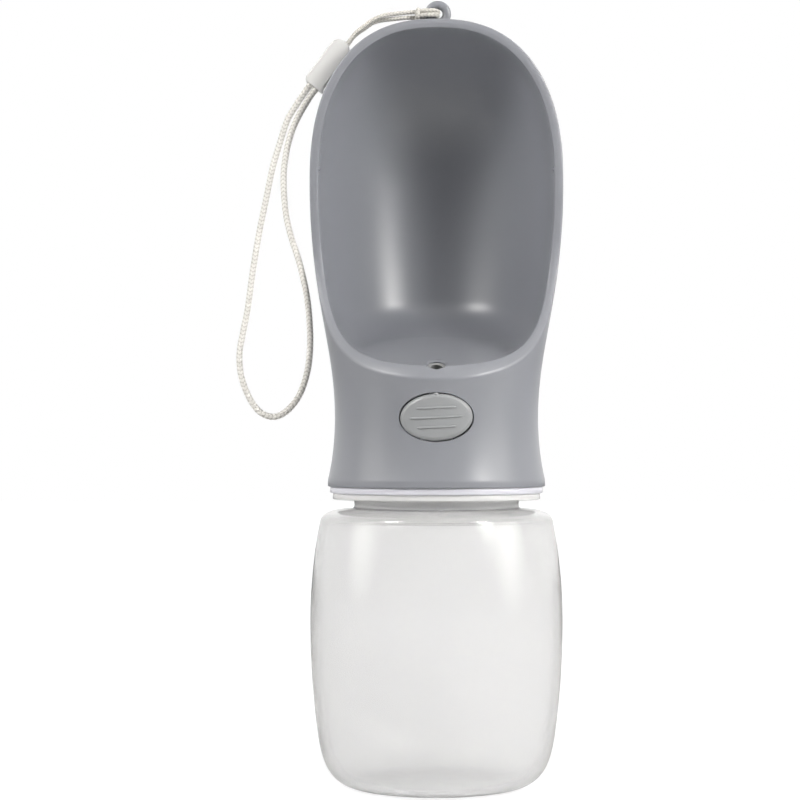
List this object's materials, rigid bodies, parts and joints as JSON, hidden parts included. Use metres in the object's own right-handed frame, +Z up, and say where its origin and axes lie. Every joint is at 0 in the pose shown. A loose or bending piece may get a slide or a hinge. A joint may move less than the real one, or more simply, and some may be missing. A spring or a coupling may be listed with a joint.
{
  "type": "pet travel water bottle",
  "caption": "Travel water bottle for dogs: clear bottle, scoop-shaped drinking cup screwed on top, push-button valve in the cup's neck, and a wrist lanyard.",
  "frame": {"origin": "centre of the circle that the bottle stands on, at the base", "axes": "+Z up along the axis of the bottle and the screw thread; -Y towards the open front of the cup and the button; +X to the right of somebody who faces the button"},
  "size_m": [0.0932, 0.0721, 0.225],
  "materials": {
    "clear_plastic": "clear, polished, blow-moulded",
    "clear_rubber": "translucent silicone",
    "frosted_plastic": "milky, injection-moulded",
    "grey_plastic": "satin, fine moulded texture",
    "white_plastic": "as moulded",
    "seal_rubber": "smooth",
    "spring_steel": "drawn wire",
    "tube_rubber": "smoke-grey translucent silicone",
    "button_plastic": "satin",
    "clasp_plastic": "satin to glossy",
    "cord": "braided"
  },
  "bodies": {
    "bottle": {"bottle": "clear_plastic"},
    "gasket": {"neck_gasket": "clear_rubber"},
    "head": {"housing": "grey_plastic", "threaded_sleeve": "frosted_plastic", "valve_body": "white_plastic", "stem_seal": "seal_rubber", "gland_bush": "white_plastic", "valve_spring": "spring_steel", "end_plug": "white_plastic", "end_plug_seal": "seal_rubber", "outlet_tube": "tube_rubber", "clasp_front": "clasp_plastic", "clasp_back": "clasp_plastic", "lanyard_string": "cord", "wrist_strap": "cord"},
    "button": {"button": "button_plastic", "push_rod": "white_plastic", "valve_seal": "seal_rubber"}
  },
  "joints": [
    {"name": "head_lift", "type": "slide", "parent": "bottle", "child": "gasket", "axis": [0, 0, 1], "range_m": [0, 0.0051]},
    {"name": "head_turn", "type": "hinge", "parent": "gasket", "child": "head", "pos_m": [0, 0, 0.09], "axis": [0, 0, 1], "range_deg": [0, 450]},
    {"name": "button_press", "type": "slide", "parent": "head", "child": "button", "axis": [0, 1, 0], "range_m": [0, 0.0025], "stiffness_N_per_m": 450, "springref_m": -0.002, "deforming": ["valve_spring"]}
  ],
  "couplings": [
    {"joint": "head_lift", "follows": "head_turn", "m_per_rad": 0.00063662}
  ]
}
